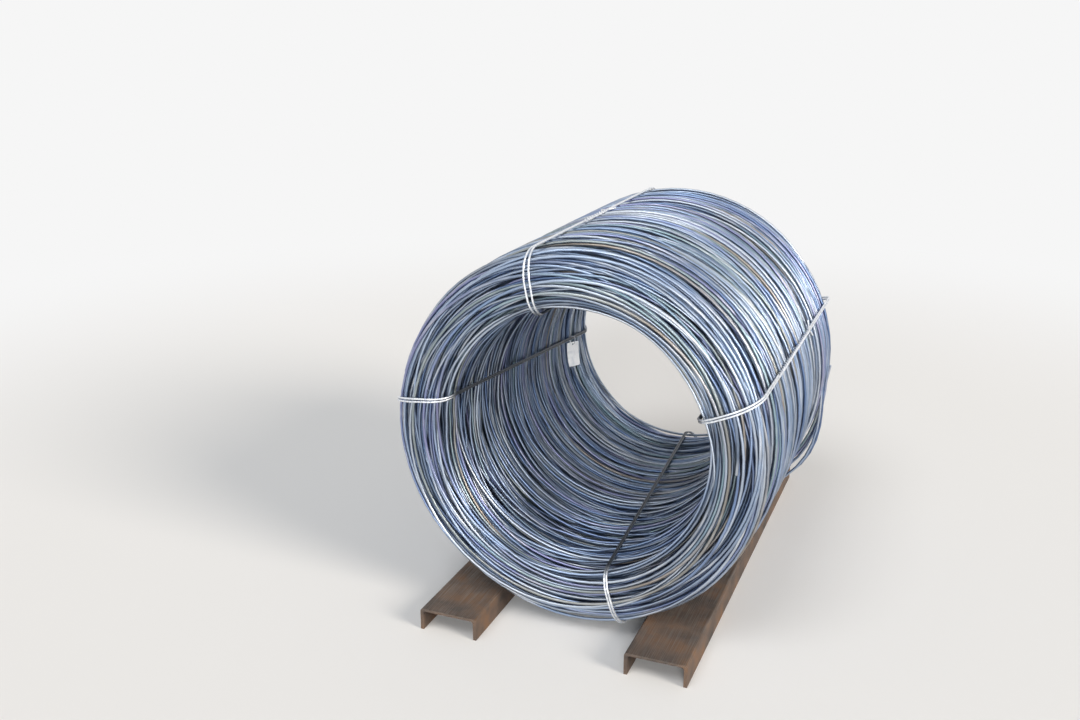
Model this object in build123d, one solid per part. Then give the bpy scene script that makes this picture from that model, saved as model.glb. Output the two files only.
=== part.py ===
from build123d import *

import math
import os

# Coil of wire rod, lying on its side on two steel skids. Sizes are in millimetres.
# The coil's axis runs along Y, its near end faces -Y, and Z is up from the floor.

# Coil
coil_diameter = 1250
bore_diameter = 850
coil_length = 1400
shoulder_radius = 95
lip_radius = 65
turn_pitch = 28
turn_depth = 10
wall_setback = 16

# Ties
tie_wire = 6.5
strand_gap = 0.5
seat_clearance = 0.3
knot_length = 110
twist_pitch = 44
wire_sides = 6
steps_per_half_turn = 3

# Where each tie lies, in degrees turned from +X towards +Z: outside, then in the eye at its near and far ends
tie_angles = {
    "left": (175, 165, 183),
    "top": (103, 105, 105),
    "right": (21, 19, 19),
    "bottom": (-73, -73, -85),
}

# Label and the wire ring that hangs it on the left tie
label_width = 60
label_height = 100
label_thickness = 1.5
label_corner = 5
label_hole = 8
label_hole_drop = 9
label_drop = 14
label_angle = 30
label_from_end = 250
label_clearance = 0.5
ring_wire = 2.4
ring_clearance = 0.4
ring_half_width = 8

# Skids
skid_width = 200
skid_height = 75
web_thickness = 9
flange_thickness = 11
skid_corner = 10
skid_root = 9
skid_overhang = 150
floor_clearance = 20

# Sizes that follow from the ones above
outer_radius = coil_diameter / 2
bore_radius = bore_diameter / 2
half_length = coil_length / 2
wall_outer = outer_radius - wall_setback
wall_inner = bore_radius + wall_setback
axis_height = outer_radius + floor_clearance
seat_height = skid_height - skid_corner
seat_reach = outer_radius + skid_corner + seat_clearance
seat_across = math.sqrt(seat_reach**2 - (axis_height - seat_height) ** 2)
skid_place = seat_across - skid_corner + skid_width / 2
tie_offset = seat_clearance + tie_wire / 2
tie_corner = tie_wire / 2 / math.cos(math.pi / wire_sides)
strand_offset = tie_corner + strand_gap / 2
half_turns = 2 * round(knot_length / twist_pitch - 0.5) + 1
label_along = half_length - label_from_end
flatness = 1e-6


def about_axis(angle):
    """Place on the coil: local X points away from the axis at this angle, turned from +X towards +Z."""
    return Pos(0, 0, axis_height) * Rot(0, -angle, 0)


def end_outline():
    """Path over the tops of the end turns, from the bore, over the lip, face and shoulder, to the outside."""
    lip = CenterArc((bore_radius + lip_radius, half_length - lip_radius), lip_radius, 180, -90)
    face = Line(lip @ 1, (outer_radius - shoulder_radius, half_length))
    shoulder = CenterArc((outer_radius - shoulder_radius, half_length - shoulder_radius), shoulder_radius, 90, -90)
    return Wire([lip, face, shoulder])


end_path = end_outline()
end_turns = round(end_path.length / turn_pitch)


def over_end(share, height):
    """Point over the far end, at a share of the way from the bore to the outside and above the turns' tops."""
    along = end_path % share
    return end_path @ share + height * Vector(-along.Y, along.X)


def mirrored(points):
    """The same points over the near end, in the other order."""
    return [Vector(point.X, -point.Y) for point in reversed(points)]


def rod_coil():
    """The laid coil as one turned solid: plain walls, and the turns as ridges over both rounded ends."""
    far_end = [Vector(wall_inner, half_length - lip_radius - turn_pitch / 2)]
    for step in range(2 * end_turns + 1):
        far_end.append(over_end(step / (2 * end_turns), -turn_depth if step % 2 else 0))
    far_end.append(Vector(wall_outer, half_length - shoulder_radius - turn_pitch / 2))
    outline = Polyline(*far_end, *mirrored(far_end), close=True)
    return Pos(0, 0, axis_height) * revolve(make_face(outline), Axis.Y)


def mitres(points):
    """Outward vector at each corner of a closed path in XY, run clockwise, that keeps an offset path parallel."""
    vectors = []
    for i, point in enumerate(points):
        before = (point - points[i - 1]).normalized().rotate(Axis.Z, 90)
        after = (points[(i + 1) % len(points)] - point).normalized().rotate(Axis.Z, 90)
        vectors.append((before + after) / (1 + before.dot(after)))
    return vectors


def wire_ring(centre, outward, sideways, wire):
    """Corners of a wire's many-sided section around a point of its centre line."""
    corner = wire / 2 / math.cos(math.pi / wire_sides)
    angles = [2 * math.pi * (side + 0.5) / wire_sides for side in range(wire_sides)]
    return [centre + corner * (math.cos(a) * outward + math.sin(a) * sideways) for a in angles]


def endless_wire(rings):
    """Closed wire through its rings of corners: flat strips on straight runs, two triangles where it twists."""
    faces = []
    for ring, after in zip(rings, rings[1:] + rings[:1]):
        for i in range(wire_sides):
            j = (i + 1) % wire_sides
            across = (ring[j] - ring[i]).cross(after[i] - ring[i])
            if abs(across.normalized().dot(after[j] - ring[i])) < flatness:
                strips = [[ring[i], ring[j], after[j], after[i]]]
            else:
                strips = [[ring[i], ring[j], after[j]], [ring[i], after[j], after[i]]]
            faces.extend(Face(Wire.make_polygon(strip)) for strip in strips)
    return Solid(Shell(faces))


def strand_rings(side, points, outward, turns):
    """One strand beside its neighbour, on the top of every end turn, each ring turned about the coil's axis."""
    shift = Vector(0, 0, side * strand_offset)
    sideways = Vector(0, 0, -side)
    rings = []
    for point, out, turn in zip(points, outward, turns):
        ring = wire_ring(point + shift, -side * out, sideways, tie_wire)
        rings.append([corner.rotate(Axis.Y, -turn) for corner in ring])
    return rings


def knot_rings(side):
    """The same strand back along the knot, twisted round the other, to where the other's run starts."""
    steps = half_turns * steps_per_half_turn
    rings = []
    for step in range(1, steps):
        angle = 180 * step / steps_per_half_turn
        outward = Vector(-side, 0, 0).rotate(Axis.Y, angle)
        sideways = Vector(0, 0, -side).rotate(Axis.Y, angle)
        middle = Vector(outer_radius + tie_offset, knot_length * (0.5 - step / steps), 0)
        rings.append(wire_ring(middle - strand_offset * sideways, outward, sideways, tie_wire))
    return rings


def tie(outside, near_eye, far_eye):
    """One wire led twice round the wall, slanting over the ends, its ends twisted outside at mid-length."""
    knot_end = Vector(outer_radius + tie_offset, knot_length / 2)
    shares = [step / end_turns for step in range(end_turns + 1)]
    far_end = [over_end(share, tie_offset) for share in shares] + [knot_end]
    points = mirrored(far_end) + far_end
    outward = mitres(points)
    near_turns = [(1 - share) * (near_eye - outside) for share in shares] + [0]
    far_turns = [(1 - share) * (far_eye - outside) for share in shares] + [0]
    rings = []
    for side in (-1, 1):
        rings += strand_rings(side, points, outward, near_turns[::-1] + far_turns) + knot_rings(side)
    return about_axis(outside) * endless_wire(rings)


def left_tie_at_label():
    """Point of the left tie's straight run through the eye, above the label and measured from the axis."""
    outside, near_eye, far_eye = tie_angles["left"]
    near = Vector(bore_radius - tie_offset, 0, 0).rotate(Axis.Y, -near_eye)
    far = Vector(bore_radius - tie_offset, 0, 0).rotate(Axis.Y, -far_eye)
    return near + (far - near) * (0.5 + label_along / (coil_length - 2 * lip_radius))


def label_top():
    """Middle of the label's top edge: below the left tie, and clear of the wall that its edge leans on."""
    tie_at = left_tie_at_label()
    top = tie_at.Z - label_drop
    lowest = min(wall_inner, max(abs(top), abs(top - label_height)))
    wall_at = math.sqrt(wall_inner**2 - lowest**2)
    lean = math.radians(label_angle)
    half_depth = (label_width * math.sin(lean) + label_thickness * math.cos(lean)) / 2
    return Vector(max(tie_at.X, half_depth + label_clearance - wall_at), 0, top)


def label_tag():
    """Blank label plate with rounded corners and a hole near its top edge, turned off the wall."""
    top = label_top()
    plate = RectangleRounded(label_width, label_height, label_corner)
    hole = Pos(0, label_height / 2 - label_hole_drop) * Circle(label_hole / 2)
    plate = extrude(Plane.YZ * (plate - hole), label_thickness / 2, both=True)
    return Pos(top.X, label_along, axis_height + top.Z - label_height / 2) * Rot(0, 0, -label_angle) * plate


def label_ring():
    """Bent wire ring round both strands of the left tie and through the label's hole."""
    tie_at = left_tie_at_label()
    top = label_top()
    reach = ring_clearance + ring_wire / 2
    behind = tie_at.X - tie_corner - strand_offset * abs(tie_at.Z) / tie_at.length - reach
    above = strand_offset + tie_corner + reach
    bottom = top.Z - label_hole_drop + label_hole / 2 - reach
    corners = [
        Vector(behind, tie_at.Z + above),
        Vector(top.X + ring_half_width, tie_at.Z + above),
        Vector(top.X + ring_half_width, bottom),
        Vector(top.X - ring_half_width, bottom),
        Vector(behind, tie_at.Z - above),
    ]
    rings = [wire_ring(p, out, Vector(0, 0, 1), ring_wire) for p, out in zip(corners, mitres(corners))]
    return Pos(0, label_along, axis_height) * Rot(90, 0, 0) * endless_wire(rings)


def skid_section():
    """Channel on its flanges, web up: rounded top corners, and fillets where the flanges leave the web."""
    outside = Pos(0, skid_height / 2) * Rectangle(skid_width, skid_height)
    outside = fillet(outside.vertices().group_by(Axis.Y)[-1], skid_corner)
    hollow_height = skid_height - web_thickness
    hollow = Pos(0, hollow_height / 2) * Rectangle(skid_width - 2 * flange_thickness, hollow_height)
    hollow = fillet(hollow.vertices().group_by(Axis.Y)[-1], skid_root)
    return outside - hollow


def skid(side):
    """One skid rail, as long as the coil and an overhang at each end."""
    rail = extrude(Plane.XZ * skid_section(), coil_length / 2 + skid_overhang, both=True)
    return Pos(side * skid_place, 0, 0) * rail


parts = {"rod_coil": rod_coil(), "skid_left": skid(-1), "skid_right": skid(1)}
parts["label_tag"] = label_tag()
parts["label_ring"] = label_ring()
for place, angles in tie_angles.items():
    parts[f"tie_{place}"] = tie(*angles)

os.makedirs("parts", exist_ok=True)
for name, solid in parts.items():
    export_step(solid, f"parts/{name}.step")
    print(name, round(solid.volume), "mm3")
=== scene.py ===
import logging
import math
from collections.abc import Mapping, Sequence
from dataclasses import dataclass
from enum import Enum

import bpy
import numpy as np
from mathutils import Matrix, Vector


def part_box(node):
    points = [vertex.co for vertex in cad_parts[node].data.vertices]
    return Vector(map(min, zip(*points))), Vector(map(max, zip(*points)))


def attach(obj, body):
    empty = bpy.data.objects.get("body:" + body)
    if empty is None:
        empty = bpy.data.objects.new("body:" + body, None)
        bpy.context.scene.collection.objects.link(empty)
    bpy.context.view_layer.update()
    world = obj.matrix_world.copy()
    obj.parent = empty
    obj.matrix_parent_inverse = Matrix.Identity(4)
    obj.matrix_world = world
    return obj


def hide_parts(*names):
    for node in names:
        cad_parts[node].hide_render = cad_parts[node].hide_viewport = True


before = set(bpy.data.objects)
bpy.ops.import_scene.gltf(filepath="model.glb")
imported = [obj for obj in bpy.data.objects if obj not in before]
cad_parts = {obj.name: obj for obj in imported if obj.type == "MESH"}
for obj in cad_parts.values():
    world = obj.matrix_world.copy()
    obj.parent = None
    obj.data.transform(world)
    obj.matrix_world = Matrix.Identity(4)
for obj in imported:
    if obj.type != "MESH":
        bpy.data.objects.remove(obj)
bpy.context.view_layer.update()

# A coil of wire rod lying on two steel skids. Metres; the coil's axis runs along Y, Z is up from the floor.

LOG = logging.getLogger("coil")
IMAGE_WIDTH = 1080
SENSOR_WIDTH = 36.0
MM = 0.001
SHARP_ANGLE = math.radians(75)
SURROUNDING_WHITE = "#F6F6F6"
# Most of what a noise texture gives lies between these values
NOISE_LOW, NOISE_HIGH = 0.3, 0.7
# Sockets of a colour mix: its two colours among the inputs, and its result among the outputs
FIRST, SECOND, MIXED = 6, 7, 2

Colour = tuple[float, float, float, float]
Triple = tuple[float, float, float]
Limits = tuple[float, float]


def linear(code: str) -> Colour:
    """Turn an sRGB hex colour into the linear values that Blender works in.

    Args:
        code: Six hex digits with a leading "#".

    Returns:
        Red, green, blue and an alpha of one.
    """
    shares = [int(code[i : i + 2], 16) / 255 for i in (1, 3, 5)]
    return (*(s / 12.92 if s <= 0.04045 else ((s + 0.055) / 1.055) ** 2.4 for s in shares), 1.0)


def per_mm(size: float) -> float:
    """Scale of a texture whose pattern repeats over this many millimetres."""
    return 1 / (size * MM)


def add_node(
    tree: bpy.types.NodeTree,
    kind: str,
    inputs: Mapping[str | int, object] | None = None,
    stops: Sequence[tuple[float, str]] = (),
    **settings: object,
) -> bpy.types.Node:
    """Add one node with its settings, values and links.

    Args:
        tree: Node tree of a material or world.
        kind: The node's Blender type.
        inputs: Socket name or number, with a value, another node's output, or a node for its first output.
        stops: Places and sRGB hex colours of a colour ramp.
        settings: Properties of the node.

    Returns:
        The new node.
    """
    made = tree.nodes.new(kind)
    for name, value in settings.items():
        setattr(made, name, value)
    for key, value in (inputs or {}).items():
        source = value.outputs[0] if isinstance(value, bpy.types.Node) else value
        if isinstance(source, bpy.types.NodeSocket):
            tree.links.new(source, made.inputs[key])
        else:
            made.inputs[key].default_value = value
    if stops:
        ramp = made.color_ramp.elements
        while len(ramp) < len(stops):
            ramp.new(1.0)
        for element, (place, code) in zip(ramp, stops):
            element.position = place
            element.color = linear(code)
    return made


def new_material(name: str) -> tuple[bpy.types.Material, bpy.types.NodeTree]:
    """Start an empty node material and return it with its tree."""
    material = bpy.data.materials.new(name)
    material.use_nodes = True
    material.node_tree.nodes.clear()
    return material, material.node_tree


def finish_material(tree: bpy.types.NodeTree, shader: Mapping[str | int, object]) -> None:
    """Add the shader with its values and links, and lead it to the material's output."""
    surface = add_node(tree, "ShaderNodeBsdfPrincipled", shader)
    add_node(tree, "ShaderNodeOutputMaterial", {"Surface": surface})


@dataclass(frozen=True)
class MillScale:
    """Hot-rolled wire rod with its mill scale: a hard blue-grey oxide skin, semi-metallic and satin.

    Every turn cooled a little differently, so the skin runs from steel blue over violet and greenish
    grey to brown, and its high places are rubbed paler where turns and tools have slid over them.
    Patterns are measured in millimetres.
    """

    tints: tuple[str, ...] = (
        "#566A8C", "#7A90B6", "#A8B9D1", "#66778F", "#C4CEDB",
        "#849CBE", "#8C90B5", "#8AA4B0", "#968D84", "#B0BFD3",
    )
    rubbed: str = "#E6E8E9"
    rubbed_length: float = 260.0
    most_rubbed: float = 0.55
    dust: str = "#6A5F56"
    dust_size: float = 160.0
    most_dust: float = 0.35
    drawn_between: Limits = (0.5, 0.8)
    grain_size: float = 3.0
    grain_depth: float = 0.4
    grain_strength: float = 0.25
    roughness: Limits = (0.27, 0.42)
    metallic: float = 0.92

    def material(self) -> bpy.types.Material:
        """Build the material from each turn's tone, rubbed lengths, dusty patches and a fine grain."""
        material, tree = new_material("mill_scale_steel")
        place = add_node(tree, "ShaderNodeTexCoord").outputs["Object"]
        tone = add_node(tree, "ShaderNodeAttribute", attribute_name="tone")
        along = add_node(tree, "ShaderNodeAttribute", attribute_name="along")
        stops = [(i / (len(self.tints) - 1), tint) for i, tint in enumerate(self.tints)]
        skin = add_node(tree, "ShaderNodeValToRGB", {"Fac": tone.outputs["Fac"]}, stops)

        # Rubbed lengths and dust are drawn only where their noise is high, and the rubbed ones follow the rod
        low, high = self.drawn_between
        rubs = add_node(
            tree, "ShaderNodeTexNoise",
            {"W": along.outputs["Fac"], "Scale": per_mm(self.rubbed_length), "Detail": 3.0, "Roughness": 0.6},
            noise_dimensions="1D",
        )
        rub_share = add_node(
            tree, "ShaderNodeMapRange",
            {"Value": rubs, "From Min": low, "From Max": high, "To Max": self.most_rubbed},
        )
        worn = add_node(
            tree, "ShaderNodeMix", {"Factor": rub_share, FIRST: skin, SECOND: linear(self.rubbed)},
            data_type="RGBA",
        )
        patches = add_node(
            tree, "ShaderNodeTexNoise", {"Vector": place, "Scale": per_mm(self.dust_size), "Detail": 4.0},
        )
        dust_share = add_node(
            tree, "ShaderNodeMapRange",
            {"Value": patches, "From Min": low, "From Max": high, "To Max": self.most_dust},
        )
        dusty = add_node(
            tree, "ShaderNodeMix",
            {"Factor": dust_share, FIRST: worn.outputs[MIXED], SECOND: linear(self.dust)},
            data_type="RGBA",
        )

        grain = add_node(
            tree, "ShaderNodeTexNoise", {"Vector": place, "Scale": per_mm(self.grain_size), "Detail": 2.0},
        )
        smooth, coarse = self.roughness
        rough = add_node(
            tree, "ShaderNodeMapRange",
            {"Value": grain, "From Min": NOISE_LOW, "From Max": NOISE_HIGH,
             "To Min": smooth, "To Max": coarse},
        )
        bump = add_node(
            tree, "ShaderNodeBump",
            {"Height": grain, "Strength": self.grain_strength, "Distance": self.grain_depth * MM},
        )
        finish_material(tree, {
            "Base Color": dusty.outputs[MIXED], "Metallic": self.metallic, "Roughness": rough, "Normal": bump,
        })
        return material


@dataclass(frozen=True)
class DrawnWire:
    """Soft annealed tie wire: rubbed pale outside and over the ends, and painted dark in the eye as shade."""

    pale: str = "#EEF1F5"
    pale_from: float = 0.6
    dull: str = "#C3C9D2"
    dull_to: float = 0.35
    spangle_size: float = 9.0
    # Painted shade: in the eye the wire is darkened towards this colour, standing in for the shade that falls
    # there
    painted_shade: str = "#3A4049"
    most_painted_shade: float = 0.96
    roughness: Limits = (0.3, 0.45)
    metallic: float = 0.7

    def material(self, name: str) -> bpy.types.Material:
        """Build the material: pale metal dulled in patches, and painted shade in the eye.

        Args:
            name: Name of the finish on this piece.
        """
        material, tree = new_material(name)
        place = add_node(tree, "ShaderNodeTexCoord").outputs["Object"]
        patches = add_node(
            tree, "ShaderNodeTexNoise", {"Vector": place, "Scale": per_mm(self.spangle_size), "Detail": 3.0},
        )
        stops = [(self.dull_to, self.dull), (self.pale_from, self.pale)]
        skin = add_node(tree, "ShaderNodeValToRGB", {"Fac": patches}, stops)
        # Painted shade: the in_eye value darkens the wire through the eye and fades out over the ends
        in_eye = add_node(tree, "ShaderNodeAttribute", attribute_name="in_eye")
        shade = add_node(
            tree, "ShaderNodeMath", {0: in_eye.outputs["Fac"], 1: self.most_painted_shade}, operation="MULTIPLY",
        )
        dark = add_node(
            tree, "ShaderNodeMix", {"Factor": shade, FIRST: skin, SECOND: linear(self.painted_shade)},
            data_type="RGBA",
        )
        smooth, coarse = self.roughness
        rough = add_node(
            tree, "ShaderNodeMapRange",
            {"Value": patches, "From Min": NOISE_LOW, "From Max": NOISE_HIGH,
             "To Min": coarse, "To Max": smooth},
        )
        shader = {"Base Color": dark.outputs[MIXED], "Metallic": self.metallic, "Roughness": rough}
        finish_material(tree, shader)
        return material


@dataclass(frozen=True)
class TagCard:
    """Coated white card: matt, with soft grey smudges of mill dust."""

    white: str = "#FFFFFF"
    white_to: float = 0.5
    smudge: str = "#D5DAE0"
    smudge_from: float = 0.85
    smudge_size: float = 30.0
    roughness: float = 0.55

    def material(self) -> bpy.types.Material:
        """Build the material: white card with faint smudges."""
        material, tree = new_material("coated_white_card")
        place = add_node(tree, "ShaderNodeTexCoord").outputs["Object"]
        smudges = add_node(
            tree, "ShaderNodeTexNoise", {"Vector": place, "Scale": per_mm(self.smudge_size), "Detail": 5.0},
        )
        stops = [(self.white_to, self.white), (self.smudge_from, self.smudge)]
        face = add_node(tree, "ShaderNodeValToRGB", {"Fac": smudges}, stops)
        finish_material(tree, {"Base Color": face, "Roughness": self.roughness})
        return material


@dataclass(frozen=True)
class WornChannel:
    """Hot-rolled channel, long in use: dark brown-grey oxide and mill dirt, polished where coils slide.

    Patterns are measured in millimetres, the height of the top and the depth of its wear in metres.
    """

    oxide: str = "#3B3430"
    oxide_to: float = 0.35
    brown: str = "#5B4A3E"
    brown_at: float = 0.52
    rust: str = "#6F5138"
    rust_from: float = 0.68
    patch_size: float = 120.0
    polished: str = "#8A857F"
    most_polished: float = 0.55
    top: float = 0.075
    wear_depth: float = 0.012
    scratch_width: float = 2.5
    scratch_length: float = 160.0
    scratched_between: Limits = (0.45, 0.7)
    pit_size: float = 4.0
    pit_depth: float = 0.8
    pit_strength: float = 0.5
    roughness: Limits = (0.4, 0.75)

    def material(self) -> bpy.types.Material:
        """Build the material: oxide with rust patches, and bright scratches along the worn top."""
        material, tree = new_material("worn_hot_rolled_steel")
        place = add_node(tree, "ShaderNodeTexCoord").outputs["Object"]
        patches = add_node(
            tree, "ShaderNodeTexNoise",
            {"Vector": place, "Scale": per_mm(self.patch_size), "Detail": 8.0, "Roughness": 0.65},
        )
        stops = [(self.oxide_to, self.oxide), (self.brown_at, self.brown), (self.rust_from, self.rust)]
        skin = add_node(tree, "ShaderNodeValToRGB", {"Fac": patches}, stops)

        # Scratches run along the rail, so the noise is stretched along Y
        across = per_mm(self.scratch_width)
        stretched = add_node(
            tree, "ShaderNodeMapping",
            {"Vector": place, "Scale": (across, per_mm(self.scratch_length), across)},
        )
        scratches = add_node(tree, "ShaderNodeTexNoise", {"Vector": stretched, "Scale": 1.0, "Detail": 3.0})
        low, high = self.scratched_between
        bright = add_node(tree, "ShaderNodeMapRange", {"Value": scratches, "From Min": low, "From Max": high})
        height = add_node(tree, "ShaderNodeSeparateXYZ", {"Vector": place})
        on_top = add_node(
            tree, "ShaderNodeMapRange",
            {"Value": height.outputs["Z"], "From Min": self.top - self.wear_depth, "From Max": self.top,
             "To Max": self.most_polished},
        )
        share = add_node(tree, "ShaderNodeMath", {0: on_top, 1: bright}, operation="MULTIPLY")
        worn = add_node(
            tree, "ShaderNodeMix", {"Factor": share, FIRST: skin, SECOND: linear(self.polished)},
            data_type="RGBA",
        )

        pits = add_node(
            tree, "ShaderNodeTexNoise", {"Vector": place, "Scale": per_mm(self.pit_size), "Detail": 4.0},
        )
        smooth, coarse = self.roughness
        rough = add_node(tree, "ShaderNodeMapRange", {"Value": share, "To Min": coarse, "To Max": smooth})
        bump = add_node(
            tree, "ShaderNodeBump",
            {"Height": pits, "Strength": self.pit_strength, "Distance": self.pit_depth * MM},
        )
        finish_material(tree, {
            "Base Color": worn.outputs[MIXED], "Metallic": share, "Roughness": rough, "Normal": bump,
        })
        return material


def seen_directly(tree: bpy.types.NodeTree) -> bpy.types.Node:
    """Add nodes that give one for rays from the camera, or mirrored or passed on, and zero for soft light."""
    rays = add_node(tree, "ShaderNodeLightPath")
    seen = rays.outputs["Is Camera Ray"]
    for name in ("Is Glossy Ray", "Is Transmission Ray"):
        seen = add_node(tree, "ShaderNodeMath", {0: seen, 1: rays.outputs[name]}, operation="MAXIMUM")
    return seen


@dataclass(frozen=True)
class PaleFloor:
    """Smooth sealed floor: pale, matt and even, so that it only carries the object's shadow."""

    pale: str = "#E8E8E7"
    roughness: float = 0.9
    fade_from: float = 2.2
    fade_to: float = 6.0

    def material(self) -> bpy.types.Material:
        """Build the material: an even pale floor that, as seen, fades into the white surroundings."""
        material, tree = new_material("pale_floor")
        place = add_node(tree, "ShaderNodeTexCoord").outputs["Object"]
        away = add_node(tree, "ShaderNodeVectorMath", {0: place}, operation="LENGTH")
        far = add_node(
            tree, "ShaderNodeMapRange",
            {"Value": away.outputs["Value"], "From Min": self.fade_from, "From Max": self.fade_to},
            interpolation_type="SMOOTHSTEP",
        )
        share = add_node(tree, "ShaderNodeMath", {0: far, 1: seen_directly(tree)}, operation="MULTIPLY")
        near = add_node(
            tree, "ShaderNodeBsdfPrincipled", {"Base Color": linear(self.pale), "Roughness": self.roughness},
        )
        white = add_node(tree, "ShaderNodeEmission", {"Color": linear(SURROUNDING_WHITE), "Strength": 1.0})
        both = add_node(tree, "ShaderNodeMixShader", {0: share, 1: near, 2: white})
        add_node(tree, "ShaderNodeOutputMaterial", {"Surface": both})
        return material


def unit(vectors: np.ndarray) -> np.ndarray:
    """Scale each row to a length of one."""
    return vectors / np.linalg.norm(vectors, axis=-1, keepdims=True)


def square_to(vectors: np.ndarray, tangent: np.ndarray) -> np.ndarray:
    """Take out each vector's part along the tangent, and scale the rest to a length of one."""
    return unit(vectors - (vectors * tangent).sum(1, keepdims=True) * tangent)


def round_tangent(points: np.ndarray) -> np.ndarray:
    """Direction at each point of a closed path, from the point before it to the one after it."""
    return unit(np.roll(points, -1, 0) - np.roll(points, 1, 0))


def sections(
    points: np.ndarray, outward: np.ndarray, radius: float, sides: int, closed: bool = False
) -> np.ndarray:
    """Stand a round section on each point of a path.

    The section stands square to the path: its first direction is the outward vector with its part along
    the path taken out, its second is the path's direction crossed with the first, and the section's
    points go round them by cosine and sine.

    Args:
        points: Points of the path, one per row.
        outward: A vector at each point that is nowhere along the path.
        radius: Radius of the section.
        sides: Number of sides of the section.
        closed: Whether the path's end joins its start.

    Returns:
        The sections' points, one after the other.
    """
    tangent = round_tangent(points) if closed else unit(np.gradient(points, axis=0))
    first = square_to(outward, tangent)
    second = np.cross(tangent, first)
    angle = np.arange(sides) * 2 * np.pi / sides
    ring = np.cos(angle)[None, :, None] * first[:, None] + np.sin(angle)[None, :, None] * second[:, None]
    return (points[:, None] + radius * ring).reshape(-1, 3)


def join_sections(count: int, sides: int, closed: bool = False) -> np.ndarray:
    """Join sections that stand in a row into one closed surface.

    Args:
        count: Number of sections.
        sides: Even number of sides of each.
        closed: Whether the last joins the first; if not, both ends are closed flat.

    Returns:
        Rows of the four indices of each face.
    """
    start = np.arange(count if closed else count - 1)[:, None] * sides
    after = (start + sides) % (count * sides)
    side = np.arange(sides)[None]
    beside = (side + 1) % sides
    quads = np.stack([start + side, start + beside, after + beside, after + side], -1).reshape(-1, 4)
    if not closed:
        fan = np.array([(0, k + 1, k + 2, k + 3) for k in range(0, sides - 2, 2)]) % sides
        quads = np.concatenate([quads, fan[:, ::-1], fan + (count - 1) * sides])
    return quads


def add_piece(
    name: str,
    points: np.ndarray,
    quads: np.ndarray,
    material: bpy.types.Material,
    values: Mapping[str, np.ndarray] | None = None,
) -> bpy.types.Object:
    """Make an object at the origin from points and four-sided faces.

    Args:
        name: Name of the piece.
        points: The surface's points in metres.
        quads: Rows of four indices, in order seen from outside.
        material: Its finish.
        values: Named numbers, one per point, that the finish reads.

    Returns:
        The new object.
    """
    mesh = bpy.data.meshes.new(name)
    mesh.vertices.add(len(points))
    mesh.vertices.foreach_set("co", points.astype(np.float32).ravel())
    mesh.loops.add(quads.size)
    mesh.loops.foreach_set("vertex_index", quads.astype(np.int32).ravel())
    mesh.polygons.add(len(quads))
    mesh.polygons.foreach_set("loop_start", np.arange(0, quads.size, 4, dtype=np.int32))
    mesh.polygons.foreach_set("use_smooth", np.ones(len(quads), dtype=bool))
    for key, numbers in (values or {}).items():
        data = mesh.attributes.new(key, "FLOAT", "POINT").data
        data.foreach_set("value", numbers.astype(np.float32))
    mesh.update(calc_edges=True)
    mesh.set_sharp_from_angle(angle=SHARP_ANGLE)
    mesh.materials.append(material)
    made = bpy.data.objects.new(name, mesh)
    bpy.context.scene.collection.objects.link(made)
    LOG.info("%s: %d points, %d faces", name, len(points), len(quads))
    return made


def spread(numbers: np.ndarray, width: float) -> np.ndarray:
    """Smooth a row of numbers with a bell curve whose standard deviation is this many places."""
    reach = int(3 * width) + 1
    bell = np.exp(-0.5 * (np.arange(-reach, reach + 1) / width) ** 2)
    return np.convolve(np.pad(numbers, reach, mode="edge"), bell / bell.sum(), mode="valid")


@dataclass(frozen=True)
class CoilOutline:
    """Section of the coil's wall: bore, outside, length, and the rounding of its ends."""

    outer: float = 0.625
    bore: float = 0.425
    half_length: float = 0.7
    shoulder: float = 0.095
    lip: float = 0.065
    axis_height: float = 0.645

    def reach(self, radius: np.ndarray, inset: float) -> np.ndarray:
        """How far from mid-length a point at this radius may lie, kept an inset inside the outline.

        The end is flat between lip and shoulder. Over each of them it falls as a quarter circle: by its
        radius less the root of the radius squared less the distance past its centre squared.
        """
        past_shoulder = radius - self.outer + self.shoulder
        past_lip = self.bore + self.lip - radius
        fall = np.zeros_like(radius)
        for rounding, past in ((self.shoulder, past_shoulder), (self.lip, past_lip)):
            bend = rounding - inset
            fall += bend - np.sqrt(bend**2 - np.clip(past, 0, bend) ** 2)
        return self.half_length - inset - fall

    def place(self, radius: np.ndarray, angle: np.ndarray, along: np.ndarray) -> np.ndarray:
        """Points at a radius and angle about the coil's axis, the angle turned from +X towards +Z."""
        return np.stack([radius * np.cos(angle), along, self.axis_height + radius * np.sin(angle)], -1)


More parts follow.
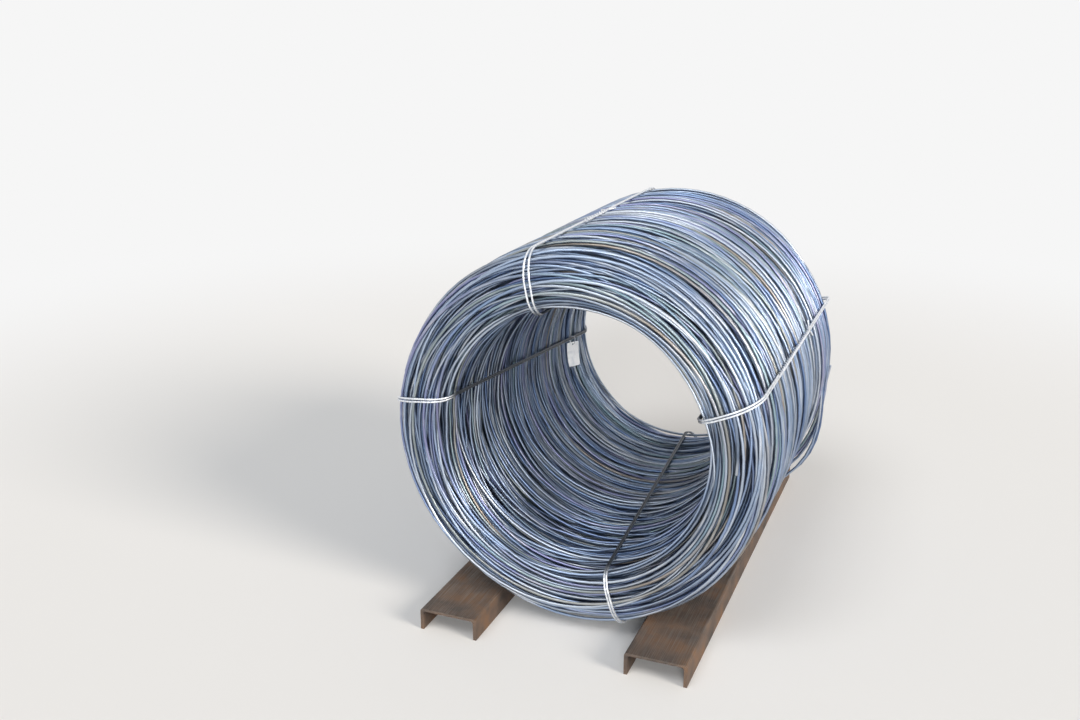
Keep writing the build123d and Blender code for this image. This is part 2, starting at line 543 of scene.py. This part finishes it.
@dataclass
class RodTurns:
    """The rod's turns: one long rod laid in rings that sit off the coil's axis, each ring turned on.

    The rings overlap as a laying head drops them, and are then settled: wherever two turns cut into each
    other they are pushed apart along the line between them, and the rod's stiffness smooths the pushes.

    Attributes:
        outline: Section of the wall that the turns keep to.
        rod: Thickness of the rod.
        turns, steps, sides: Number of rings, points along each, and sides of the rod's section.
        pieces: Number of pieces that the rod is made in.
        neat_offset, stray_offset: How far off the axis most rings sit, and the stray ones.
        stray_share: Share of stray rings.
        tilt: How far a ring's place along the axis swings, as a standard deviation.
        crowding, end_crowding: Power that crowds the rings in the coil's middle, and at its ends.
        end_turns: Number of rings over which one power goes over into the other.
        size_scatter: Scatter of the rings' radius, as a standard deviation.
        advance: Least and most degrees by which each ring's centre is turned on.
        wobble, bends: Unevenness of the rod's curve, and the number of uneven bends in a ring.
        settling_rounds: How often the turns are pushed apart.
        settling_reach: Number of following turns that each is compared with.
        push_share: Share of an overlap that each of the two turns moves in a round.
        least_push: Share of the rod that two turns count as apart along the axis at least.
        stiffness: Places over which pushes are smoothed: what is lost by the end, and what stays.
        slack: How far each loose turn hangs out.
        loose_between: Where loose turns are picked, as shares of the half length.
        loose_towards, loose_arc: Angle that they hang towards, and degrees over which they do.
        fold: Length after which the length along the rod runs back, which keeps it exact.
        seed: Start of the random draws.
    """

    outline: CoilOutline
    rod: float = 0.010
    turns: int = 975
    steps: int = 72
    sides: int = 6
    pieces: int = 5
    neat_offset: Limits = (0.003, 0.034)
    stray_offset: Limits = (0.045, 0.085)
    stray_share: float = 0.32
    tilt: float = 0.019
    crowding: float = 0.15
    end_crowding: float = 1.4
    end_turns: int = 85
    size_scatter: float = 0.003
    advance: Limits = (18.0, 52.0)
    wobble: float = 0.0040
    bends: int = 12
    settling_rounds: int = 90
    settling_reach: int = 40
    push_share: float = 0.35
    least_push: float = 0.15
    stiffness: Limits = (1.5, 0.4)
    slack: tuple[float, ...] = (0.020, 0.040, 0.060, 0.050, 0.030)
    loose_between: Limits = (0.50, 0.88)
    loose_towards: float = -33.0
    loose_arc: float = 64.0
    fold: float = 4.0
    seed: int = 7

    def lay(self) -> tuple[np.ndarray, np.ndarray]:
        """Lay the rings before they settle.

        A ring of radius R whose centre is off the axis by e towards an angle p stands at the radius
        e cos(a - p) + root(R squared - (e sin(a - p)) squared) at the angle a. R swings about the wall's
        middle by the room left in the wall times a cosine raised to the crowding: a low power crowds the
        rings to the outside and the bore, a high one near the ends spreads them over the end faces. Each
        ring is also tilted, so its place along the axis swings by its tilt times the cosine of the angle.

        Returns:
            Radius and place along the axis, one row per turn.
        """
        rng = np.random.default_rng(self.seed)
        inset = self.rod / 2
        count = self.turns * self.steps
        turn = np.arange(count) / self.steps
        middles = np.arange(self.turns) + 0.5
        least, most = self.advance

        towards = np.cumsum(np.radians(rng.uniform(least, most, self.turns)))
        neat = rng.uniform(*self.neat_offset, self.turns)
        stray = rng.uniform(*self.stray_offset, self.turns)
        offset = np.where(rng.uniform(0, 1, self.turns) < self.stray_share, stray, neat)
        room = (self.outline.outer - self.outline.bore) / 2 - inset - offset
        swing = np.cos(np.pi * rng.uniform(0, 1, self.turns))
        from_end = np.minimum(middles, self.turns - middles) / self.end_turns
        crowding = np.interp(from_end, [0, 1], [self.end_crowding, self.crowding])
        size = (self.outline.outer + self.outline.bore) / 2
        size = size + room * np.sign(swing) * np.abs(swing) ** crowding
        size += rng.normal(0, self.size_scatter, self.turns)

        lean = 2 * np.pi * turn - np.interp(turn, middles, towards)
        size, offset = (np.interp(turn, middles, values) for values in (size, offset))
        radius = offset * np.cos(lean) + np.sqrt(size**2 - (offset * np.sin(lean)) ** 2)
        noise = spread(rng.normal(0, 1, count), self.steps / self.bends)
        radius += self.wobble * noise / noise.std()
        radius = np.clip(radius, self.outline.bore + inset, self.outline.outer - inset)

        along = (2 * turn / self.turns - 1) * self.outline.reach(radius, inset)
        tilt = np.abs(rng.normal(0, self.tilt, self.turns))
        tilted_to = np.cumsum(np.radians(rng.uniform(least, 2 * most, self.turns)))
        tilt, tilted_to = (np.interp(turn, middles, values) for values in (tilt, tilted_to))
        along += tilt * np.cos(2 * np.pi * turn - tilted_to)
        limit = self.outline.reach(radius, inset)
        along = np.clip(along, -limit, limit)
        return radius.reshape(self.turns, -1), along.reshape(self.turns, -1)

    def settle(self, radius: np.ndarray, along: np.ndarray) -> tuple[np.ndarray, np.ndarray]:
        """Push the turns apart until they hardly cut into each other.

        In each round every turn is compared with the next few dozen at the same angle. Where two centres
        are nearer than the rod is thick, both move apart by a share of the overlap. The rod is stiff at
        first, so that whole arcs move, and softer in the end.

        Args:
            radius: Radius of each turn at each angle.
            along: Place along the axis of each turn at each angle.

        Returns:
            The settled radius and place along the axis.
        """
        inset = self.rod / 2
        more_stiffness, least_stiffness = self.stiffness
        first_radius, first_along = radius.copy(), along.copy()
        for round_number in range(self.settling_rounds):
            out, on = np.zeros_like(radius), np.zeros_like(along)
            for k in range(1, self.settling_reach + 1):
                across = radius[k:] - radius[:-k]
                gap = along[k:] - along[:-k]
                overlap = np.maximum(self.rod - np.hypot(across, gap), 0)
                ahead = np.maximum(gap, self.least_push * self.rod)
                scale = self.push_share * overlap / np.hypot(across, ahead)
                for moved, step in ((out, scale * across), (on, scale * ahead)):
                    moved[k:] += step
                    moved[:-k] -= step
            stiff = more_stiffness * (1 - round_number / self.settling_rounds) + least_stiffness
            shifted = []
            for now, first in ((radius + out, first_radius), (along + on, first_along)):
                shift = spread((now - first).ravel(), stiff)
                shifted.append(first + shift.reshape(now.shape))
            radius = np.clip(shifted[0], self.outline.bore + inset, self.outline.outer - inset)
            limit = self.outline.reach(radius, inset)
            along = np.clip(shifted[1], -limit, limit)
        return radius, along

    def cut_share(self, radius: np.ndarray, along: np.ndarray, depth: float = 0.2) -> float:
        """Share of the turns' places where another turn cuts in by more than this share of the rod."""
        cut = np.zeros(radius.shape, dtype=bool)
        for k in range(1, self.settling_reach + 1):
            apart = np.hypot(radius[k:] - radius[:-k], along[k:] - along[:-k])
            cut[k:] |= apart < (1 - depth) * self.rod
        return float(cut.mean())

    def loosen(self, radius: np.ndarray) -> np.ndarray:
        """Let a few of the outermost turns hang loose low on the right, towards the far end.

        Each loose turn's radius grows by its slack times the squared cosine across its loose arc, as far
        as the square round the coil lets it. The arc ends above the skid.

        Args:
            radius: Radius at each place of the rod.

        Returns:
            The radius with the loose turns' slack added.
        """
        turn = np.arange(len(radius)) / self.steps
        low, high = (int(self.turns * (share + 1) / 2) for share in self.loose_between)
        middles = np.arange(low, high) + (self.loose_towards % 360) / 360
        outermost = np.argsort(np.interp(middles, turn, radius))[-len(self.slack):]
        half_arc = self.loose_arc / 2 / 360
        for middle, slack in zip(middles[outermost], self.slack):
            across = np.clip((turn - middle) / half_arc, -1, 1)
            radius = radius + slack * np.cos(np.pi / 2 * across) ** 2
        widest = np.maximum(np.abs(np.cos(2 * np.pi * turn)), np.abs(np.sin(2 * np.pi * turn)))
        return np.minimum(radius, (self.outline.outer - self.rod / 2) / widest)

    def path(self) -> tuple[np.ndarray, np.ndarray]:
        """Lay, settle and loosen the turns.

        Returns:
            Points along the middle of the rod, and the outward direction at each.
        """
        radius, along = self.settle(*self.lay())
        LOG.info("share of places where a turn cuts into another: %.3f", self.cut_share(radius, along))
        radius, along = self.loosen(radius.ravel()), along.ravel()
        angle = 2 * np.pi * np.arange(len(radius)) / self.steps
        outward = np.stack([np.cos(angle), np.zeros(len(angle)), np.sin(angle)], -1)
        return self.outline.place(radius, angle, along), outward

    def build(self, finish: MillScale) -> None:
        """Make the rod's pieces, with each turn's tone and the length along the rod for their finish."""
        rng = np.random.default_rng(self.seed + 1)
        points, outward = self.path()
        count = len(points)
        length = np.concatenate([[0], np.cumsum(np.linalg.norm(np.diff(points, axis=0), axis=1))])
        LOG.info("rod length %.0f m", length[-1])
        folded = np.abs((length / self.fold) % 2 - 1) * self.fold
        tones = rng.uniform(0, 1, self.turns + 1)
        tone = np.interp(np.arange(count) / self.steps, np.arange(self.turns + 1), tones)
        surface = sections(points, outward, self.rod / 2, self.sides)
        values = {"tone": np.repeat(tone, self.sides), "along": np.repeat(folded, self.sides)}
        material = finish.material()
        cuts = np.linspace(0, count - 1, self.pieces + 1).astype(int)
        for number, (start, end) in enumerate(zip(cuts[:-1], cuts[1:]), 1):
            part = slice(start * self.sides, (end + 1) * self.sides)
            shades = {name: numbers[part] for name, numbers in values.items()}
            quads = join_sections(end + 1 - start, self.sides)
            piece = add_piece(f"rod_turns_{number}", surface[part], quads, material, shades)
            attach(piece, "root")
            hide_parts("rod_coil")


@dataclass(frozen=True)
class TieRun:
    """Where one tie lies, in degrees from +X towards +Z, and how its two strands run.

    It lies at one angle outside, and at others in the eye at the near and far ends. On the end faces
    its strands stand a gap apart; outside they are twisted together over a length about a middle place.
    """

    outside: float
    near_eye: float
    far_eye: float
    face_gap: float = 0.0085
    twist_at: float = 0.0
    twist_length: float = 0.11


class TiePlace(Enum):
    """The four ties by their place on the wall, as seen from the near end."""

    LEFT = TieRun(175.0, 165.0, 183.0, face_gap=0.010)
    TOP = TieRun(103.0, 105.0, 105.0, face_gap=0.018, twist_at=-0.06, twist_length=0.22)
    RIGHT = TieRun(21.0, 19.0, 19.0, face_gap=0.009, twist_at=-0.14, twist_length=0.55)
    BOTTOM = TieRun(-73.0, -73.0, -85.0)


@dataclass
class TieWire:
    """One tie: a soft wire led twice round the coil's wall, its ends twisted together outside.

    Attributes:
        outline: Section of the wall that it is led round.
        place: Which of the four ties it is.
        wire: Thickness of the wire.
        lift: Height of its middle above the outline.
        apart: Distance between its strands' middles where they lie together.
        twist_pitch: Length of one turn of the twist.
        tail, tail_ahead, tail_aside: Length of a cut end, and its shares along the coil and sideways.
        middle_inset: How far from the coil's ends the line stops that the strands stand out from.
        painted_shade_over: Share of the way over an end, from the bore, over which the painted shade of the
            eye fades.
        bend_points, eye_points, outside_points, tail_points: Points round the lip or the shoulder,
            through the eye, along the outside, and along a cut end.
        sides: Sides of the wire's section.
    """

    outline: CoilOutline
    place: TiePlace
    wire: float = 0.0065
    lift: float = 0.0034
    apart: float = 0.0072
    twist_pitch: float = 0.044
    tail: float = 0.040
    tail_ahead: float = 0.8
    tail_aside: float = 0.6
    middle_inset: float = 0.1
    painted_shade_over: float = 0.2
    bend_points: int = 12
    eye_points: int = 28
    outside_points: int = 258
    tail_points: int = 9
    sides: int = 8

    def wall_path(self) -> tuple[np.ndarray, np.ndarray, np.ndarray]:
        """Path round one end of the wall: from the bore, over lip, face and shoulder, to the outside.

        Lip and shoulder are quarter circles about their centres, with the lift added to their radius.

        Returns:
            Radius, distance from mid-length, and share of the way from the bore to the outside.
        """
        o = self.outline
        turn = np.linspace(0, np.pi / 2, self.bend_points)
        lip_radius = o.bore + o.lip - (o.lip + self.lift) * np.cos(turn)
        lip_along = o.half_length - o.lip + (o.lip + self.lift) * np.sin(turn)
        shoulder_radius = o.outer - o.shoulder + (o.shoulder + self.lift) * np.sin(turn)
        shoulder_along = o.half_length - o.shoulder + (o.shoulder + self.lift) * np.cos(turn)
        radius = np.concatenate([lip_radius, shoulder_radius])
        along = np.concatenate([lip_along, shoulder_along])
        way = np.concatenate([[0], np.cumsum(np.hypot(np.diff(radius), np.diff(along)))])
        return radius, along, way / way[-1]

    def loop(self) -> tuple[np.ndarray, np.ndarray, np.ndarray]:
        """Lay the closed path round the wall that the middle between the two strands takes.

        The angle about the axis goes evenly from its value in the eye to the one outside, over each end,
        and the run through the eye is a straight line.

        Returns:
            Points of the path, half the gap between the strands, and how far each point is in the eye.
        """
        run = self.place.value
        outside, near, far = (math.radians(value) for value in (run.outside, run.near_eye, run.far_eye))
        radius, along, share = self.wall_path()
        near_end = self.outline.place(radius, near + share * (outside - near), -along)
        far_end = self.outline.place(radius, far + share * (outside - far), along)
        eye = np.linspace(0, 1, self.eye_points + 2)[1:-1, None]
        eye_run = far_end[0] + eye * (near_end[0] - far_end[0])
        out = np.linspace(0, 1, self.outside_points + 2)[1:-1, None]
        outside_run = near_end[-1] + out * (far_end[-1] - near_end[-1])
        points = np.concatenate([near_end, outside_run, far_end[::-1], eye_run])
        bulge = np.sin(np.pi * share) * (run.face_gap - self.apart)
        gap = np.concatenate([bulge, np.zeros(len(out)), bulge[::-1], np.zeros(len(eye))]) + self.apart
        # Painted shade: in_eye is one through the eye and fades to nothing over the lip, so the finish
        # darkens the wire there
        inner = np.clip(1 - share / self.painted_shade_over, 0, 1)
        in_eye = np.concatenate([inner, np.zeros(len(out)), inner[::-1], np.ones(len(eye))])
        return points, gap / 2, in_eye

    def twist(self, points: np.ndarray, radius: np.ndarray) -> np.ndarray:
        """How far the strands are turned round each other at each point, in radians.

        They make an odd number of half turns, so that both together are one endless wire.

        Args:
            points: Points of the path round the wall.
            radius: Distance of each from the coil's axis.
        """
        run = self.place.value
        half_turns = 2 * round(run.twist_length / self.twist_pitch - 0.5) + 1
        share = np.clip((points[:, 1] - run.twist_at) / run.twist_length + 0.5, 0, 1)
        share = np.where(radius > self.outline.outer, share, 0.0)
        share[np.argmax(share >= 1.0):] = 1.0
        return np.pi * half_turns * share

    def strands(self, points: np.ndarray, half_gap: np.ndarray) -> list[tuple[np.ndarray, np.ndarray]]:
        """Lead both strands round the wall as one path, and add the wire's two cut ends.

        Args:
            points: Points of the path that the middle between the strands takes.
            half_gap: Half the gap between the strands at each.

        Returns:
            Each path's points with the direction away from the wall; the first path is closed.
        """
        o = self.outline
        axis = np.array([0, 0, o.axis_height])
        radial = points - axis
        radial[:, 1] = 0
        wall_centre = unit(radial) * (o.outer + o.bore) / 2 + axis
        inside = o.half_length - self.middle_inset
        wall_centre[:, 1] = np.clip(points[:, 1], -inside, inside)
        tangent = round_tangent(points)
        away = square_to(unit(points - wall_centre), tangent)
        sideways = np.cross(tangent, away)
        angle = self.twist(points, np.linalg.norm(radial, axis=1))
        both = []
        for start in (0.0, np.pi):
            across = np.cos(angle + start)[:, None] * sideways + np.sin(angle + start)[:, None] * away
            both.append(points + half_gap[:, None] * across)
        end = points[np.argmax(angle >= angle.max())]
        return [(np.concatenate(both), np.concatenate([away, away])), *self.tails(end)]

    def tails(self, end: np.ndarray) -> list[tuple[np.ndarray, np.ndarray]]:
        """Cut ends of the wire, which spread sideways along the coil from the twist's far end.

        Each starts in a strand and bends away by the square of its length.

        Args:
            end: Point in the middle of the twist's far end.

        Returns:
            Each cut end's points with the direction away from the wall.
        """
        away = unit((end - [0, end[1], self.outline.axis_height])[None])[0]
        ahead = np.array([0.0, 1.0, 0.0])
        sideways = np.cross(ahead, away)
        share = np.linspace(0, 1, self.tail_points)[:, None]
        made = []
        for side in (-1, 1):
            bend = self.apart / 2 + self.tail_aside * self.tail * share**2
            path = end + self.tail_ahead * self.tail * share * ahead + side * bend * sideways
            made.append((path, np.broadcast_to(away, path.shape)))
        return made

    def build(self, material: bpy.types.Material) -> None:
        """Make both strands as one wire, twisted outside, with its two cut ends."""
        points, half_gap, in_eye = self.loop()
        surfaces, faces = [], []
        start = 0
        for number, (path, away) in enumerate(self.strands(points, half_gap)):
            closed = number == 0
            surfaces.append(sections(path, away, self.wire / 2, self.sides, closed))
            faces.append(join_sections(len(path), self.sides, closed) + start)
            start += len(surfaces[-1])
        # Painted shade read by the finish, on the two strands but not on the cut ends
        shade = np.zeros(start)
        shade[: len(surfaces[0])] = np.repeat(np.concatenate([in_eye, in_eye]), self.sides)
        name = f"tie_wire_{self.place.name.lower()}"
        piece = add_piece(name, np.concatenate(surfaces), np.concatenate(faces), material, {"in_eye": shade})
        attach(piece, "root")
        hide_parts(f"tie_{self.place.name.lower()}")


@dataclass
class TagLabel:
    """The blank card hung from the left tie: rounded corners, an eyelet hole, and a slight curl.

    Attributes:
        width, height, thickness, corner: Sizes of the card, and the radius of its corners.
        hole, hole_drop: Radius of its hole, and how far the hole's centre lies below the top edge.
        turned: Degrees by which the card is turned off the wall.
        curl: How far it bends off its plane at half its height from the flat line.
        flat_at: Where the card is flat, as a share of the way from its middle to its top edge.
        rings, around: Rings of points from the hole to the edge, and points in each.
        halvings: Steps in which the rays' reach to the edge is found.
    """

    width: float = 0.060
    height: float = 0.100
    thickness: float = 0.0015
    corner: float = 0.005
    hole: float = 0.004
    hole_drop: float = 0.009
    turned: float = 30.0
    curl: float = 0.004
    flat_at: float = 0.8
    rings: int = 10
    around: int = 64
    halvings: int = 40

    def edge_reach(self, hole_at: np.ndarray, direction: np.ndarray) -> np.ndarray:
        """How far each ray from the hole goes before it meets the rounded rectangle's edge.

        A point's distance past the edge is that from the rectangle drawn in by the corner's radius, less
        this radius. The reach is found by halving.

        Args:
            hole_at: Centre of the hole.
            direction: Direction of each ray.
        """
        half = np.array([self.width, self.height]) / 2
        low, high = np.zeros(self.around), np.full(self.around, self.height)
        for _ in range(self.halvings):
            reach = (low + high) / 2
            past = np.abs(hole_at + reach[:, None] * direction) - (half - self.corner)
            inside = np.linalg.norm(np.maximum(past, 0), axis=1) < self.corner
            low, high = np.where(inside, reach, low), np.where(inside, high, reach)
        return low

    def card(self) -> tuple[np.ndarray, np.ndarray]:
        """Card from its hole out to its edge, in the card's own plane.

        Rings of points lie between the hole and the edge. The card is bent off its plane by its curl
        times the square of the distance from its flat line, measured in half heights.

        Returns:
            Points of the closed surface, and its faces.
        """
        angle = np.arange(self.around) * 2 * np.pi / self.around
        direction = np.stack([np.cos(angle), np.sin(angle)], -1)
        hole_at = np.array([0.0, self.height / 2 - self.hole_drop])
        share = np.linspace(0, 1, self.rings)[:, None, None]
        inner = hole_at + self.hole * direction
        outer = hole_at + self.edge_reach(hole_at, direction)[:, None] * direction
        flat = inner + share * (outer - inner)
        bend = self.curl * (2 * flat[..., 1:] / self.height - self.flat_at) ** 2
        layers = [np.concatenate([bend + side * self.thickness / 2, flat], -1) for side in (1, -1)]
        points = np.concatenate([layer.reshape(-1, 3) for layer in layers])

        ring = np.arange(self.rings - 1)[:, None] * self.around
        after = ring + self.around
        i = np.arange(self.around)[None]
        j = (i + 1) % self.around
        top = np.stack([ring + i, after + i, after + j, ring + j], -1).reshape(-1, 4)
        size = self.rings * self.around
        rim = (self.rings - 1) * self.around
        i, j = i.ravel(), j.ravel()
        hole_wall = np.stack([i, j, j + size, i + size], -1)
        edge_wall = np.stack([rim + j, rim + i, rim + i + size, rim + j + size], -1)
        return points, np.concatenate([top, top[:, ::-1] + size, hole_wall, edge_wall])

    def build(self, finish: TagCard) -> None:
        """Place the card where the CAD's label hangs."""
        points, quads = self.card()
        low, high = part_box("label_tag")
        middle = (np.array(low) + np.array(high)) / 2
        cos, sin = math.cos(math.radians(self.turned)), math.sin(math.radians(self.turned))
        spin = np.array([(cos, -sin, 0), (sin, cos, 0), (0, 0, 1)])
        piece = add_piece("label_card", points @ spin + middle, quads, finish.material())
        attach(piece, "root")
        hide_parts("label_tag")


def dress(name: str, material: bpy.types.Material) -> None:
    """Give its finish to a CAD piece that is shown as it is."""
    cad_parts[name].data.materials.clear()
    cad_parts[name].data.materials.append(material)
    LOG.info("%s: CAD shape in %s", name, material.name)


@dataclass(frozen=True)
class Lamp:
    """One soft lamp far away.

    Attributes:
        name: Name of the lamp.
        source: Direction that its light comes from.
        strength: Light on a face turned to it, in watts per square metre.
        width: How wide the lamp looks, in degrees.
        colour: Colour of its light.
        glints: Whether shiny surfaces show it.
    """

    name: str
    source: Triple
    strength: float
    width: float
    colour: str = "#FFFFFF"
    glints: bool = True

    def build(self) -> None:
        """Hang the lamp."""
        data = bpy.data.lights.new(self.name, "SUN")
        data.energy = self.strength
        data.angle = math.radians(self.width)
        data.color = linear(self.colour)[:3]
        lamp = bpy.data.objects.new(self.name, data)
        lamp.rotation_euler = Vector(self.source).to_track_quat("Z", "Y").to_euler()
        lamp.visible_glossy = self.glints
        bpy.context.scene.collection.objects.link(lamp)


@dataclass(frozen=True)
class Studio:
    """Pale floor and white surroundings, with lamps to the right, above and before the near end.

    The last lamp shines into the eye and reaches matt surfaces alone, so it puts no glints on the rod.
    """

    floor_half: float = 40.0
    soft: str = "#F4F6FA"
    soft_strength: float = 0.28
    lamps: tuple[Lamp, ...] = (
        Lamp("key_lamp", (1.0, -0.28, 0.48), 2.4, 24.0, colour="#FFF5E9"),
        Lamp("top_lamp", (-0.2, -0.6, 1.0), 0.85, 30.0),
        Lamp("front_lamp", (0.10, -1.0, 0.05), 1.2, 30.0),
        Lamp("fill_lamp", (0.33, -1.0, 0.32), 2.0, 20.0, glints=False),
    )

    def floor(self) -> None:
        """Make the floor as one square face under the skids."""
        half = self.floor_half
        corners = np.array([(-half, -half, 0), (half, -half, 0), (half, half, 0), (-half, half, 0)])
        piece = add_piece("floor", corners, np.array([[0, 1, 2, 3]]), PaleFloor().material())

    def world(self) -> None:
        """White surroundings for the camera, gloss and glass, and a dimmer soft light for the rest."""
        world = bpy.data.worlds.new("studio")
        world.use_nodes = True
        tree = world.node_tree
        tree.nodes.clear()
        soft = add_node(
            tree, "ShaderNodeBackground", {"Color": linear(self.soft), "Strength": self.soft_strength},
        )
        white = add_node(tree, "ShaderNodeBackground", {"Color": linear(SURROUNDING_WHITE), "Strength": 1.0})
        both = add_node(tree, "ShaderNodeMixShader", {0: seen_directly(tree), 1: soft, 2: white})
        add_node(tree, "ShaderNodeOutputWorld", {"Surface": both})
        bpy.context.scene.world = world

    def build(self) -> None:
        """Make the floor, surroundings and lamps, and set how colours are shown."""
        self.floor()
        self.world()
        for lamp in self.lamps:
            lamp.build()
        bpy.context.scene.view_settings.view_transform = "Standard"


@dataclass(frozen=True)
class PhotoCamera:
    """Camera at the photograph's viewing angle: its place, heading, tilt and focal length in pixels."""

    place: Triple = (1.141, -3.720, 1.960)
    heading: float = 22.14
    tilt: float = 17.6
    focal_pixels: float = 1124.0

    def build(self) -> None:
        """Make the camera and give it to the scene."""
        data = bpy.data.cameras.new("camera")
        data.sensor_width = SENSOR_WIDTH
        data.lens = self.focal_pixels * SENSOR_WIDTH / IMAGE_WIDTH
        camera = bpy.data.objects.new("camera", data)
        camera.location = self.place
        camera.rotation_euler = (math.radians(90 - self.tilt), 0, math.radians(self.heading))
        bpy.context.scene.collection.objects.link(camera)
        bpy.context.scene.camera = camera


def main() -> None:
    """Build every piece in order."""
    logging.basicConfig(level=logging.INFO, format="%(message)s")
    outline = CoilOutline()
    PhotoCamera().build()
    Studio().build()
    RodTurns(outline).build(MillScale())
    tie_material = DrawnWire().material("annealed_tie_wire")
    for place in TiePlace:
        TieWire(outline, place).build(tie_material)
    TagLabel().build(TagCard())
    dress("label_ring", tie_material)
    skid_material = WornChannel().material()
    for name in ("skid_left", "skid_right"):
        dress(name, skid_material)


if __name__ == "__main__":
    main()
